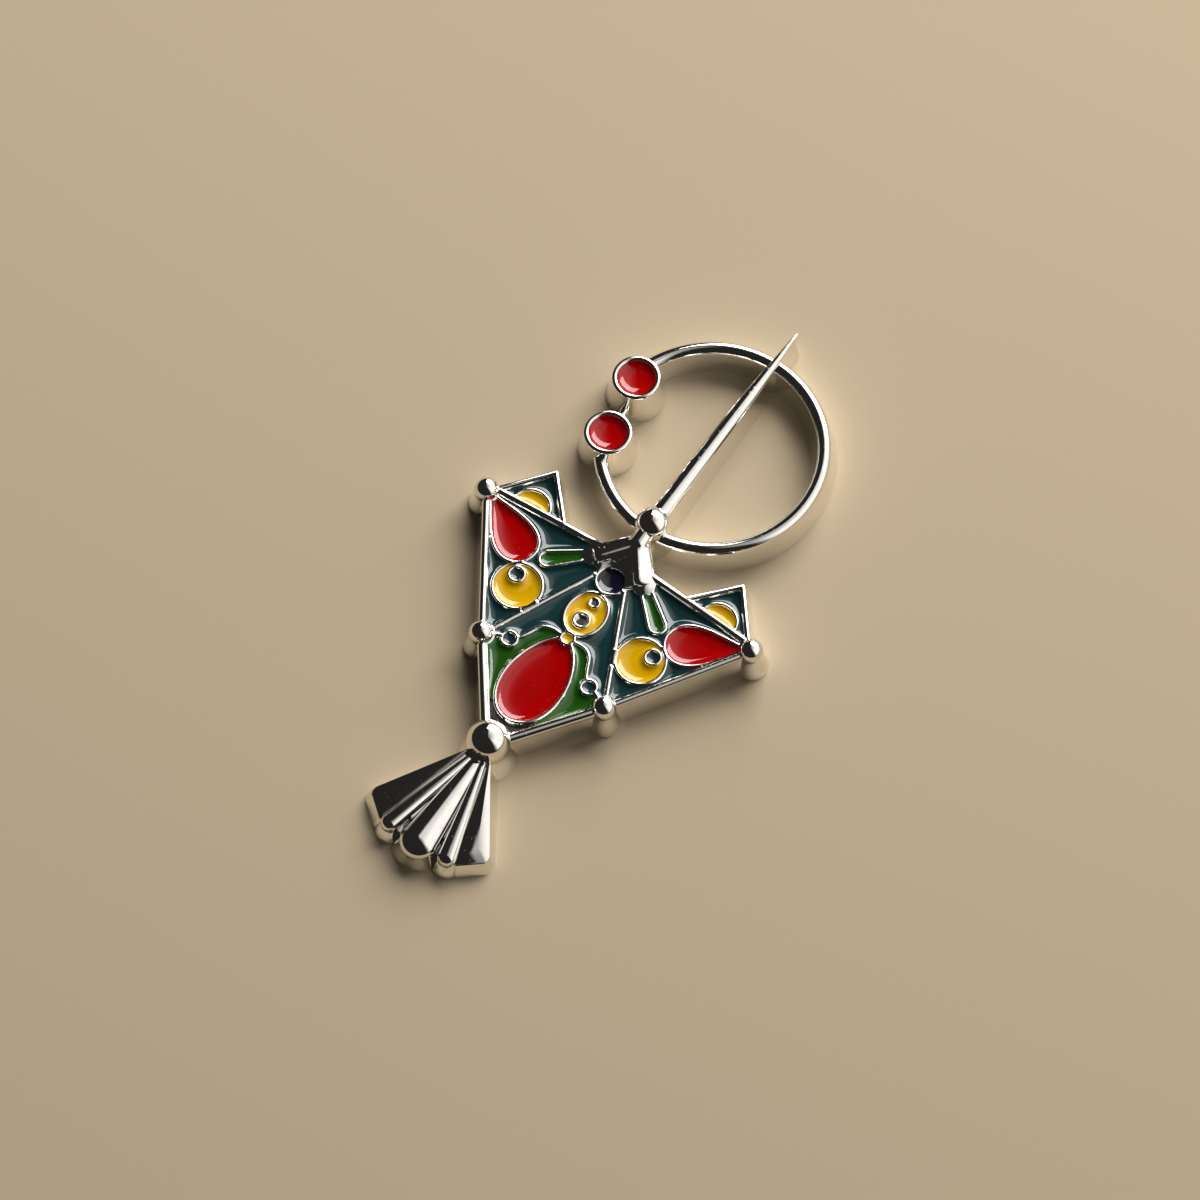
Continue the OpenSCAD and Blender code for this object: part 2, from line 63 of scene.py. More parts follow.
def share(x, y):
    """A place on the plate: x a share of the half span, y a share of the drop to the foot ball."""
    return np.array([x * HALF_SPAN, BALL_LINE_Y - y * PLATE_DROP])


def mirrored(point):
    """The same place on the brooch's other half."""
    return np.array([-point[0], *point[1:]])


corner = share(1, 0)
side_ball = share(0.463, 0.585)
rim_side = share(0.458, 0.585)
foot = share(0, 1)
rim_foot = share(0.02, 1)
rod_outer = share(0.965, -0.027)
rod_inner = share(0.174, -0.06)
tab_mid = 0.706 * HALF_SPAN


def on_rod(x):
    """The place on the top edge's rod that lies at x."""
    along = (x - rod_outer[0]) / (rod_inner[0] - rod_outer[0])
    return np.array([x, rod_outer[1] + along * (rod_inner[1] - rod_outer[1])])


tab_foot_out = on_rod(tab_mid + TAB_HALF)
tab_foot_in = on_rod(tab_mid - TAB_HALF)
tab_peak = np.array([tab_mid, BALL_LINE_Y + TAB_HEIGHT])


def solid(name, points, faces):
    """A mesh object in millimetres; the finished piece is brought to metres at the end."""
    mesh = bpy.data.meshes.new(name)
    mesh.from_pydata([tuple(map(float, p)) for p in points], [], [tuple(map(int, f)) for f in faces])
    shape = bmesh.new()
    shape.from_mesh(mesh)
    bmesh.ops.recalc_face_normals(shape, faces=shape.faces)
    shape.to_mesh(mesh)
    shape.free()
    piece = bpy.data.objects.new(name, mesh)
    bpy.context.collection.objects.link(piece)
    return piece


def stacked(name, rings):
    """A closed solid through rings of equal count, each a list of 3-D points."""
    count = len(rings[0])
    points = [p for ring in rings for p in ring]
    faces = [tuple(range(count))]
    for level in range(len(rings) - 1):
        low = level * count
        for i in range(count):
            j = (i + 1) % count
            faces.append((low + i, low + j, low + count + j, low + count + i))
    faces.append(tuple(range(len(points) - 1, len(points) - count - 1, -1)))
    return solid(name, points, faces)


def ordered(outline):
    """The outer corners of a set of points, counter-clockwise."""
    points = sorted(map(tuple, outline))
    hull = []
    for row in (points, points[::-1]):
        side = []
        for p in row:
            while len(side) > 1 and np.cross(np.subtract(side[-1], side[-2]), np.subtract(p, side[-1])) <= 0:
                side.pop()
            side.append(p)
        hull += side[:-1]
    return np.array(hull)


def grown(outline, width, steps=5):
    """An outline with every side moved out by a width, its corners rounded in a few steps."""
    grown_points = []
    count = len(outline)
    for i in range(count):
        before = outline[i] - outline[i - 1]
        after = outline[(i + 1) % count] - outline[i]
        start = math.atan2(-before[0], before[1])
        turn = (math.atan2(-after[0], after[1]) - start) % (2 * math.pi)
        for k in range(steps):
            angle = start + turn * k / (steps - 1)
            grown_points.append(outline[i] + width * np.array([math.cos(angle), math.sin(angle)]))
    return np.array(grown_points)


def at_height(outline, z):
    """An outline lifted to a height."""
    return [(p[0], p[1], z) for p in outline]


def spread_block(name, outline, top, lap, spread=WALL_SPREAD, foot_z=0.0):
    """A cast block: its walls lean outward from a rounded upper edge down to its foot."""
    core = ordered(outline)
    edge_drop, edge_swell, edge_inset = 0.05, 0.012, 0.03
    rings = [at_height(grown(core, lap + spread), foot_z),
             at_height(grown(core, lap + edge_swell), top - edge_drop),
             at_height(grown(core, lap - edge_inset), top)]
    return stacked(name, rings)


def combined(body, tool, how="UNION"):
    """Joins a solid to the body, or cuts it out of it, and clears it away."""
    step = body.modifiers.new(how, "BOOLEAN")
    step.operation = how
    step.solver = "MANIFOLD"
    step.object = tool
    bpy.context.view_layer.objects.active = body
    bpy.ops.object.modifier_apply(modifier=step.name)
    bpy.data.objects.remove(tool)
    return body


triangle = [corner, rim_side, rim_foot, rod_inner]
casting = spread_block("plate", triangle + [mirrored(p) for p in triangle], WALL_TOP, RIM_LAP)
for flip in (np.array, mirrored):
    tab = [flip(p) for p in (tab_foot_out, tab_peak, tab_foot_in)]
    combined(casting, spread_block("tab", tab, WALL_TOP, TAB_LAP))


def disc_pair(first, first_radius, second, second_radius):
    """The outline of two discs with a straight band between them."""
    turns = np.linspace(0, 2 * math.pi, 24, endpoint=False)
    return [(c[0] + r * math.cos(u), c[1] + r * math.sin(u))
            for c, r in ((first, first_radius), (second, second_radius)) for u in turns]


# The metal under the collar's two arms and its neck.
COLLAR_FOOT_SPREAD = 0.3
NECK_FOOT_TOP = 1.6
for side in (-1, 1):
    arm_foot = disc_pair((0, NECK_Y - 1.2), 0.5, (1.5 * side, NECK_Y - 3.1), 0.62)
    combined(casting, spread_block("arm_foot", arm_foot, WALL_TOP, 0.0, COLLAR_FOOT_SPREAD))
neck_foot = disc_pair((0, NECK_Y), 0.45, (0, NECK_Y - 1.5), 0.5)
combined(casting, spread_block("neck_foot", neck_foot, NECK_FOOT_TOP, 0.0, COLLAR_FOOT_SPREAD))

# The cells: shallow pools in the plate, each fenced by thin raised lines of the same casting.
# Their outlines come from the exact model's cell floors, with the round stretches cut finer.
# One more pool by the foot ball stays bare metal.
CELL_CLEARANCE = 0.03
BACK_DEPTH = 0.8
CUT_STEP = 0.07
SHARP_TURN = math.radians(27)
LENGTH_JUMP = 2.2
SLACK = 0.004


def flat_outlines(node, height):
    """Closed outlines, in millimetres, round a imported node's faces that lie flat at a height."""
    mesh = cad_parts[node].data
    places = np.array([v.co[:] for v in mesh.vertices]) / MM
    level = np.abs(places[:, 2] - height) < SLACK
    names = [(round(p[0], 3), round(p[1], 3)) for p in places]
    border = set()
    for face in mesh.polygons:
        if all(level[v] for v in face.vertices):
            around = [names[v] for v in face.vertices]
            if len(set(around)) < len(around):
                continue
            for edge in zip(around, around[1:] + around[:1]):
                if edge[::-1] in border:
                    border.remove(edge[::-1])
                else:
                    border.add(edge)
    follow = dict(sorted(border))
    outlines = []
    while follow:
        start = min(follow)
        loop = [start]
        step = follow.pop(start)
        while step != start and step in follow:
            loop.append(step)
            step = follow.pop(step)
        if len(loop) > 2:
            outlines.append(np.array(loop))
    return outlines


def finer(outline):
    """The same outline with its round stretches cut finer and its corners kept."""
    count = len(outline)
    sides = np.roll(outline, -1, axis=0) - outline
    lengths = np.linalg.norm(sides, axis=1)
    keep = lengths > SLACK
    if not keep.all():
        return finer(outline[keep])
    ways = sides / lengths[:, None]
    points = []
    for i in range(count):
        before, after = (i - 1) % count, (i + 1) % count
        tangents = []
        for left, right in ((before, i), (i, after)):
            turn = math.acos(np.clip(ways[left] @ ways[right], -1, 1))
            ratio = lengths[left] / lengths[right]
            if turn > SHARP_TURN:
                tangents.append(ways[i])
            elif ratio > LENGTH_JUMP:
                tangents.append(ways[left])
            elif ratio < 1 / LENGTH_JUMP:
                tangents.append(ways[right])
            else:
                mean = ways[left] * lengths[right] + ways[right] * lengths[left]
                tangents.append(mean / np.linalg.norm(mean))
        pieces = max(1, math.ceil(lengths[i] / CUT_STEP))
        for k in range(pieces):
            t = k / pieces
            bend = t * (1 - t) * lengths[i]
            points.append(outline[i] + t * sides[i] + bend * (1 - t) * (tangents[0] - ways[i])
                          - bend * t * (tangents[1] - ways[i]))
    return np.array(points)


def widened(outline, width):
    """The outline with each point moved outward a little; outlines of holes close up."""
    before = outline - np.roll(outline, 1, axis=0)
    after = np.roll(outline, -1, axis=0) - outline
    before /= np.linalg.norm(before, axis=1)[:, None]
    after /= np.linalg.norm(after, axis=1)[:, None]
    out = np.stack([before[:, 1] + after[:, 1], -before[:, 0] - after[:, 0]], axis=1)
    out /= np.maximum(np.einsum("ij,ij->i", out, out), 0.9)[:, None] / 2
    return outline + out * width


def reach_of(outlines):
    """A measure of how far a place lies from the outlines, sought through marks set along them."""
    mark_step = 0.012
    marks, sides = [], []
    for outline in outlines:
        for a, b in zip(outline, np.roll(outline, -1, axis=0)):
            pieces = max(1, math.ceil(np.linalg.norm(b - a) / mark_step))
            marks += [a + (b - a) * k / pieces for k in range(pieces)]
            sides += [(a, b - a, (b - a) @ (b - a))] * pieces
    tree = kdtree.KDTree(len(marks))
    for i, mark in enumerate(marks):
        tree.insert((*mark, 0), i)
    tree.balance()

    def reach(place):
        start, side, square = sides[tree.find((*place, 0))[1]]
        along = min(max((place - start) @ side / square, 0), 1)
        return math.dist(place, start + along * side)

    return reach


def filled(outlines, grid, rows=()):
    """Points and triangles that fill outlines: rows follow the border, an even grid fills the rest."""
    tile_size, row_pitch, jitter = 0.009, 0.866, 0.002
    points = np.concatenate(outlines)
    sides = np.concatenate([np.roll(outline, -1, axis=0) for outline in outlines]) - points
    edges = []
    for outline in outlines:
        first, count = len(edges), len(outline)
        edges += [(first + i, first + (i + 1) % count) for i in range(count)]
    rim = len(points)
    low, high = points.min(0), points.max(0)
    reach = reach_of(outlines) if grid else None
    dots, taken = [], set()
    for width in rows:
        for outline in outlines:
            for place in widened(outline, -width):
                tile = tuple(np.round(place / tile_size).astype(int))
                if tile not in taken and reach(place) > width * 0.93:
                    dots.append(tuple(place))
                    taken.update((tile[0] + i, tile[1] + j) for i in (-1, 0, 1) for j in (-1, 0, 1))
    followed = len(dots)
    clear = max(rows, default=0) + grid / 2 if grid else 0
    for row, y in enumerate(np.arange(low[1], high[1], grid * row_pitch) if grid else ()):
        start, end = points[:, 1], points[:, 1] + sides[:, 1]
        spans = (start > y) != (end > y)
        borders = np.sort(points[spans, 0] + (y - start[spans]) * sides[spans, 0] / sides[spans, 1])
        x = np.arange(low[0] + grid / 2 * (row % 2), high[0], grid)
        x = x[np.searchsorted(borders, x) % 2 == 1]
        dots += [(a, y) for a in x if reach((a, y)) > clear]
    if dots:
        dots = np.array(dots)
        waves = np.array([[310.0, -170.0], [230.0, 410.0]])
        dots[followed:] += jitter * np.sin(dots[followed:] @ waves)
        points = np.concatenate([points, dots])
    laid = geometry.delaunay_2d_cdt([Vector(p) for p in points], edges, [], 0, 1e-7)
    triangles = laid[2]
    fences = {frozenset(edge) for edge in edges}
    beside = {}
    for t, corners in enumerate(triangles):
        for edge in zip(corners, corners[1:] + corners[:1]):
            beside.setdefault(frozenset(edge), []).append(t)
    within = {}
    reached = [(owners[0], edge in fences) for edge, owners in beside.items() if len(owners) == 1]
    while reached:
        t, held = reached.pop()
        if t not in within:
            within[t] = held
            corners = triangles[t]
            for edge in map(frozenset, zip(corners, corners[1:] + corners[:1])):
                reached += [(other, held ^ (edge in fences)) for other in beside[edge] if other != t]
    kept = [corners for t, corners in enumerate(triangles) if within[t]]
    return np.array([p[:] for p in laid[0]]), np.array(kept), rim


def relaxed(points, triangles, rim, pull):
    """A skin held at zero along its rim and lifted evenly inside, with a pull that levels it."""
    corners = [points[triangles[:, k]] for k in range(3)]
    area = np.abs(np.cross(corners[1] - corners[0], corners[2] - corners[0]))
    area = np.maximum(area, 1e-9)
    starts, ends, ties = [], [], []
    for k in range(3):
        a, b, c = corners[k], corners[(k + 1) % 3], corners[(k + 2) % 3]
        tie = np.clip(np.einsum("ij,ij->i", a - c, b - c) / area, 0, 6) / 2
        starts.append(triangles[:, k])
        ends.append(triangles[:, (k + 1) % 3])
        ties.append(tie)
    starts, ends, ties = map(np.concatenate, (starts, ends, ties))
    count = len(points)
    share_of_area = np.bincount(triangles.ravel(), np.repeat(area / 6, 3), count)
    weight = np.bincount(starts, ties, count) + np.bincount(ends, ties, count) + pull * share_of_area
    weight[weight == 0] = 1
    free = np.arange(count) >= rim

    def strain(h):
        flow = np.bincount(starts, ties * h[ends], count) + np.bincount(ends, ties * h[starts], count)
        return np.where(free, weight * h - flow, 0)

    lift = np.zeros(count)
    rest = np.where(free, share_of_area, 0)
    guided = rest / weight
    step = guided.copy()
    size = rest @ guided
    for _ in range(600):
        moved = strain(step)
        reach = size / max(step @ moved, 1e-30)
        lift += reach * step
        rest = rest - reach * moved
        guided = rest / weight
        new_size = rest @ guided
        if new_size < 1e-16:
            break
        step = guided + new_size / size * step
        size = new_size
    return lift


def skinned(name, outlines, grid, heights, floor_z, rows=()):
    """A closed solid under a skin: its top follows heights(points, triangles, rim)."""
    points, triangles, rim = filled(outlines, grid, rows)
    top = heights(points, triangles, rim)
    flat, under, _ = filled(outlines, None)
    count = len(points)
    places = [(p[0], p[1], z) for p, z in zip(points, top)]
    places += [(p[0], p[1], floor_z) for p in flat[:rim]]
    faces = [tuple(t) for t in triangles]
    faces += [(count + t[2], count + t[1], count + t[0]) for t in under]
    first = 0
    for outline in outlines:
        size = len(outline)
        for i in range(size):
            a, b = first + i, first + (i + 1) % size
            faces.append((b, a, count + a, count + b))
        first += size
    return solid(name, places, faces)


def above_face(points, triangles, rim):
    """A level skin clear of the plate, for a tool that cuts."""
    return np.full(len(points), 2.0)


cells = [finer(outline) for outline in flat_outlines("cast_body", CELL_FLOOR)]
wide_cells = [widened(cell, CELL_CLEARANCE) for cell in cells]
combined(casting, skinned("pools", wide_cells, None, above_face, CELL_FLOOR), "DIFFERENCE")
hollow = ordered([share(-0.6, 0.06), share(0.6, 0.06), share(0.14, 0.7), share(-0.14, 0.7)])
combined(casting, stacked("hollow", [at_height(hollow, -1), at_height(hollow, BACK_DEPTH)]), "DIFFERENCE")

# The thin lines: raised, round-topped fences between the pools, polished with the rims.
# They are one skin over the plate's face, swollen highest where the metal is widest.
LINE_EDGE = 1.585
LINE_SWELL = 0.1
LINE_HALF = 0.115
LINE_FOOT = 1.24
LINE_GRID = 0.17
LINE_ROWS = (0.018, 0.046, 0.08, 0.118)
WIDE_RISE = 0.3
STUD_RADIUS = 0.27
STUD_DEPTH = 0.2
oval_stud = share(0, 0.187)

face_edge = [corner, rim_side, rim_foot, mirrored(rim_foot), mirrored(rim_side), mirrored(corner)]
face_edge += [mirrored(tab_foot_out), mirrored(tab_peak), mirrored(tab_foot_in), mirrored(rod_inner)]
face_edge += [rod_inner, tab_foot_in, tab_peak, tab_foot_out]
fences = [finer(np.array(face_edge)[::-1])] + [cell[::-1] for cell in cells]
line_reach = reach_of(fences)


def line_heights(points, triangles, rim):
    """Round-topped at the edge, a little higher where the metal is wide, and cupped at the oval's stud."""
    reach = np.array([line_reach(p) for p in points])
    depth = np.minimum(reach / LINE_HALF, 1)
    wide = WIDE_RISE * np.clip(reach - LINE_HALF, 0, 0.3)
    dish = np.maximum(1 - (np.linalg.norm(points - oval_stud, axis=1) / STUD_RADIUS) ** 2, 0)
    swell = LINE_SWELL * np.sqrt(1 - (1 - depth) ** 2)
    return LINE_EDGE + swell + wide * (1 - dish) - STUD_DEPTH * dish ** 0.7


combined(casting, skinned("lines", fences, LINE_GRID, line_heights, LINE_FOOT, LINE_ROWS))

# The rims: half-round rods cast along the edges of the plate and its tabs, running from ball
# to ball. The balls, the head ball and the foot ball stand on round feet in the same casting.
ROUND = 40


def rod(name, a, b, radius, z, sides=ROUND):
    """A straight round rod with domed ends."""
    a, b = np.array([*a, z]), np.array([*b, z])
    way = (b - a) / np.linalg.norm(b - a)
    across = np.array([-way[1], way[0], 0])
    rings = []
    for middle, sign in ((a, -1), (b, 1)):
        steps = (80, 60, 40, 20, 0) if sign < 0 else (0, 20, 40, 60, 80)
        for degree in steps:
            tilt = math.radians(degree)
            centre = middle + sign * way * radius * math.sin(tilt)
            reach = radius * math.cos(tilt)
            rings.append([centre + reach * (across * math.cos(u) + np.array([0, 0, math.sin(u)]))
                          for u in np.linspace(0, 2 * math.pi, sides, endpoint=False)])
    return stacked(name, rings)


def turned(name, middle, profile, sides=64):
    """A solid of revolution on an upright axis: the profile lists (radius, height) pairs."""
    rings = [[(middle[0] + r * math.cos(u), middle[1] + r * math.sin(u), z)
              for u in np.linspace(0, 2 * math.pi, sides, endpoint=False)] for r, z in profile]
    return stacked(name, rings)


def ball_profile(radius, z, foot_radius):
    """A ball on a foot that spreads to the back, as (radius, height) pairs."""
    neck, start = 0.93, -0.42
    rows = [(foot_radius, 0)]
    rows += [(radius * neck + (foot_radius - radius * neck) * (1 - t), t * (z + start * radius))
             for t in (0.35, 0.7, 0.94)]
    low, high = math.asin(start) + 0.12, math.pi / 2 * 0.985
    rows += [(radius * math.cos(a), z + radius * math.sin(a)) for a in np.linspace(low, high, 26)]
    return rows


WING_RIM = 0.23
FOOT_RIM = 0.3
TAB_RIM = 0.184
RIM_CREST = 1.81
SMALL_BALL = {"radius": 0.725, "z": 1.74, "foot_radius": 1.08}
FOOT_BALL = {"radius": 1.29, "z": 1.74, "foot_radius": 1.8}
for flip in (np.array, mirrored):
    for a, b, radius in ((corner, rim_side, WING_RIM), (rim_side, rim_foot, FOOT_RIM),
                         (rod_outer, rod_inner, WING_RIM), (tab_foot_out, tab_peak, TAB_RIM),
                         (tab_peak, tab_foot_in, TAB_RIM)):
        combined(casting, rod("rim", flip(a), flip(b), radius, RIM_CREST - radius))
    for middle in (corner, side_ball):
        combined(casting, turned("ball", flip(middle), ball_profile(**SMALL_BALL)))
combined(casting, turned("foot_ball", foot, ball_profile(**FOOT_BALL), 88))

# The collar: two smooth arms that spread like a yoke from the neck over the plate's top edge.
# They are modelled soft, so that they run into each other at the neck as cast metal does.
COLLAR_VOXEL = 0.055
COLLAR_ROUNDS = 34
WEB_FOOT = 1.3


def eased(value, power):
    """A power of a value that keeps its sign."""
    return math.copysign(abs(value) ** power, value)


def limb(name, stations, sides=32, square=1.0):
    """A rounded limb through stations of (x, y, z, half width, half height).

    A square below 1 makes it flatter on top and at its sides."""
    rows = np.array(stations)
    rings = []
    for i, (x, y, z, wide, high) in enumerate(rows):
        way = rows[min(i + 1, len(rows) - 1), :2] - rows[max(i - 1, 0), :2]
        way = way / np.linalg.norm(way)
        across = np.array([-way[1], way[0], 0])
        rings.append([np.array([x, y, z]) + wide * eased(math.cos(u), square) * across
                      + np.array([0, 0, high * eased(math.sin(u), square)])
                      for u in np.linspace(0, 2 * math.pi, sides, endpoint=False)])
    return stacked(name, rings)


def arm_stations(start, end, start_size, end_size, steps=22):
    """Stations from start to end whose sizes close to a dome at both ends."""
    start, end = np.array(start), np.array(end)
    length = np.linalg.norm(end - start)
    way = (end - start) / length
    rows = []
    for angle in np.linspace(-84, 84, steps):
        tilt = math.radians(angle)
        if angle < 0:
            middle, size, shift = start, np.array(start_size), math.sin(tilt) * start_size[0]
        else:
            middle, size, shift = end, np.array(end_size), math.sin(tilt) * end_size[0]
        rows.append([*(middle + way * shift), *(size * math.cos(tilt))])
    return rows


def softened(piece, voxel, rounds):
    """Closes a piece of overlapping forms into one skin and relaxes its creases."""
    remesh = piece.modifiers.new("one_skin", "REMESH")
    remesh.mode = "VOXEL"
    remesh.voxel_size = voxel
    relax = piece.modifiers.new("relax", "SMOOTH")
    relax.factor = 0.5
    relax.iterations = rounds
    bpy.context.view_layer.objects.active = piece
    for step in (remesh, relax):
        bpy.ops.object.modifier_apply(modifier=step.name)
    return piece


def spot(x, drop, z):
    """A place given by its distance below the neck."""
    return (x, NECK_Y - drop, z)


def tight_skin(name, corners):
    """The tight skin round a set of points."""
    mesh = bpy.data.meshes.new(name)
    shape = bmesh.new()
    for place in corners:
        shape.verts.new(place)
    bmesh.ops.convex_hull(shape, input=shape.verts)
    shape.to_mesh(mesh)
    shape.free()
    piece = bpy.data.objects.new(name, mesh)
    bpy.context.collection.objects.link(piece)
    return piece


collar = limb("neck", [(*spot(0, 1.7, 1.7), 0.6, 0.6),
                       (*spot(0, 0.6, 1.8), 0.56, 0.58),
                       (*spot(0, -0.3, 1.85), 0.6, 0.6)])
for side in (-1, 1):
    crest = arm_stations(spot(-0.1 * side, 1.45, 1.66), spot(1.36 * side, 3.38, 1.54),
                         (0.44, 0.5), (0.46, 0.56))
    slope = arm_stations(spot(0.17 * side, 1.22, 1.5), spot(1.74 * side, 3.04, 1.36),
                         (0.44, 0.46), (0.52, 0.52))
    halves = [limb("arm_crest", crest), limb("arm_slope", slope)]
    arm = tight_skin("arm", [v.co[:] for half in halves for v in half.data.vertices])
    for half in halves:
        bpy.data.objects.remove(half)
    combined(collar, arm)
crotch = [((0, 1.6), 0.45, 1.9), ((0.72, 2.9), 0.3, 1.78), ((-0.72, 2.9), 0.3, 1.78), ((0, 2.95), 0.28, 1.76)]
crotch_corners = [(x + r * math.cos(u), NECK_Y - drop + r * math.sin(u), z)
                  for (x, drop), r, top in crotch for z in (WEB_FOOT, top)
                  for u in np.linspace(0, 2 * math.pi, 20, endpoint=False)]
combined(collar, tight_skin("crotch", crotch_corners))
combined(casting, softened(collar, COLLAR_VOXEL, COLLAR_ROUNDS))

# The ring: an almost closed hoop with a round crest and spreading walls. It starts under the
# head ball and ends in two round cups, which a low web ties together.
RING_OUTER = 6.9
RING_WIDTH = 0.83
RING_WALL = 1.45
RING_CROWN = 0.4
RING_SINK = 0.36
UPPER_CUP = 170.6
LOWER_CUP = 208.2
ring_radius = RING_OUTER - RING_WIDTH / 2
ring_middle = np.array([0, NECK_Y + ring_radius - RING_SINK])
profile = [(ring_radius - RING_WIDTH / 2 - WALL_SPREAD, 0), (ring_radius + RING_WIDTH / 2 + WALL_SPREAD, 0)]
profile += [(ring_radius + RING_WIDTH / 2 * math.cos(a), RING_WALL + RING_CROWN * math.sin(a))
            for a in np.linspace(0, math.pi, 17)]
sweep = np.radians(np.linspace(LOWER_CUP, 360 + UPPER_CUP, 200))
ring = stacked("ring", [[(ring_middle[0] + r * math.cos(u), ring_middle[1] + r * math.sin(u), z)
                         for r, z in profile] for u in sweep])
combined(casting, ring)


CUP_INSET = 0.44
CUP_RADIUS = 1.43
CUP_MOUTH = 1.09
CUP_TOP = 2.4
CUP_DEPTH = 0.5
WEB_RADIUS = 0.24
WEB_Z = 1.0


def cup_place(degrees):
    """The middle of a cup, by its angle round the ring."""
    angle = math.radians(degrees)
    return ring_middle + (ring_radius - CUP_INSET) * np.array([math.cos(angle), math.sin(angle)])


lip = (CUP_RADIUS - CUP_MOUTH) / 2
cup_rows = [(CUP_RADIUS + 0.33, 0), (CUP_RADIUS + 0.02, CUP_TOP - 0.3)]
cup_rows += [(CUP_RADIUS - lip + lip * math.cos(a), CUP_TOP - 0.14 + 0.14 * math.sin(a))
             for a in np.linspace(0, math.pi, 15)]
cup_rows += [(CUP_MOUTH, CUP_TOP - CUP_DEPTH), (CUP_MOUTH / 2, CUP_TOP - CUP_DEPTH)]
for degrees in (UPPER_CUP, LOWER_CUP):
    combined(casting, turned("cup", cup_place(degrees), cup_rows, 80))
combined(casting, rod("web", cup_place(UPPER_CUP), cup_place(LOWER_CUP), WEB_RADIUS, WEB_Z))
web_wall = np.array([cup_place(UPPER_CUP), cup_place(LOWER_CUP), cup_place(LOWER_CUP) + [0.02, 0]])
combined(casting, spread_block("web_wall", web_wall, WEB_Z, 0.2, 0.2))

# The needle: a tapering round rod that stands on its own cast wall and reaches past the ring.
# It is part of the casting and cannot turn. Its root is sunk in the head ball.
NEEDLE_LENGTH = 14.9
NEEDLE_Z = 1.8
needle_rows = [(0.0, 0.63), (0.664, 0.43), (0.97, 0.13), (0.992, 0.085), (1.0, 0.03)]
rings = []
for along, radius in needle_rows:
    y = NECK_Y + along * NEEDLE_LENGTH
    rings.append([(radius * math.cos(u), y, NEEDLE_Z + radius * math.sin(u))
                  for u in np.linspace(0, 2 * math.pi, ROUND, endpoint=False)])
combined(casting, stacked("needle", rings))
wall = [(side * 0.9 * radius, NECK_Y + along * NEEDLE_LENGTH)
        for along, radius in needle_rows[:3] for side in (-1, 1)]
combined(casting, spread_block("needle_wall", wall, NEEDLE_Z, 0.0, 0.33))
HEAD_BALL = {"radius": 1.03, "z": 1.84, "foot_radius": 1.4}
combined(casting, turned("head_ball", (0, NECK_Y), ball_profile(**HEAD_BALL), 80))

# The tassel: five lobes that fan out from the foot ball on a low cast foot. The outer two are
# roofed, the next two are narrow round flutes, and the middle one is a wide flute.
TASSEL_LENGTH = 8.2
TASSEL_HALF = 4.1
TASSEL_WALL = 0.9
LOBE_FOOT_TOP = TASSEL_WALL - 0.1


def fan(x, y):
    """A place in the tassel: x a share of its half width, y a share of its length."""
    return np.array([x * TASSEL_HALF, foot[1] - y * TASSEL_LENGTH])


def lobe_foot(end, radius, flip=np.array):
    """The wall under one lobe: narrow at the ball, round at its end."""
    way = end - foot
    turn = math.atan2(way[1], way[0])
    arc = [end + radius * np.array([math.cos(turn + u), math.sin(turn + u)])
           for u in np.linspace(-1.5, 1.5, 27)]
    outline = [flip(p) for p in [foot + way * 0.1] + arc]
    return spread_block("lobe_foot", outline, LOBE_FOOT_TOP, 0.0)


flute_end = fan(0.478, 0.86)
wide_end = fan(0.01, 0.855)
middle_edge = [fan(0.2, 0.1), fan(0.58, 0.7), fan(0.3, 0.74)]
tassel = spread_block("tassel_foot", middle_edge + [mirrored(p) for p in middle_edge], LOBE_FOOT_TOP, 0.0)
combined(tassel, lobe_foot(wide_end, 1.2))
side_edge = [fan(0.1, 0.1), fan(0.2, 0.1), fan(0.965, 0.69), fan(0.965, 0.735),
             fan(0.95, 0.75), fan(0.66, 0.87), fan(0.6, 0.87)]
for flip in (np.array, mirrored):
    combined(tassel, lobe_foot(flute_end, 0.55, flip))
    combined(tassel, spread_block("side_foot", [flip(p) for p in side_edge], LOBE_FOOT_TOP, 0.0))
for flip in (np.array, mirrored):
    corners = [(*flip(fan(x, y)), z) for x, y, z in (
        (0.2, 0.1, 0.8), (0.955, 0.68, 0.8), (0.965, 0.7, 0.8), (0.965, 0.725, 0.8), (0.94, 0.742, 0.8),
        (0.66, 0.865, 0.84), (0.61, 0.868, 0.9), (0.1, 0.12, 0.86), (0.16, 0.09, 1.5), (0.762, 0.69, 1.16))]
    combined(tassel, tight_skin("roofed_lobe", corners + [(x, y, 0.5) for x, y, z in corners[:8]]))
    flute = arm_stations((*flip(fan(0.06, 0.06)), 1.0), (*flip(flute_end), 0.75), (0.2, 0.5), (0.56, 0.6))
    combined(tassel, limb("flute", flute, 48, 0.72))
wide_flute = arm_stations((*fan(0, 0.05), 1.0), (*wide_end, 0.75), (0.34, 0.5), (1.22, 0.92))
combined(tassel, limb("wide_flute", wide_flute))
combined(casting, tassel)

# The finish of the casting: a bright white-metal plating over tumbled zinc, polished to a
# mirror on the crests. It has faint orange peel, hair scratches, and dull patches and pits scattered at
# random.


def shader_group(name, inputs, outputs):
    """An empty node group with named sockets, and its two end nodes."""
    group = bpy.data.node_groups.new(name, "ShaderNodeTree")
    for label, kind, value in inputs:
        socket = group.interface.new_socket(label, in_out="INPUT", socket_type=kind)
        socket.default_value = value
    for label, kind in outputs:
        group.interface.new_socket(label, in_out="OUTPUT", socket_type=kind)
    return group, group.nodes.new("NodeGroupInput"), group.nodes.new("NodeGroupOutput")


def node(tree, kind, **sockets):
    """A node with its plain socket values set; names in sockets stand for spaces with underscores."""
    made = tree.nodes.new(kind)
    for label, value in sockets.items():
        made.inputs[label.replace("_", " ")].default_value = value
    return made


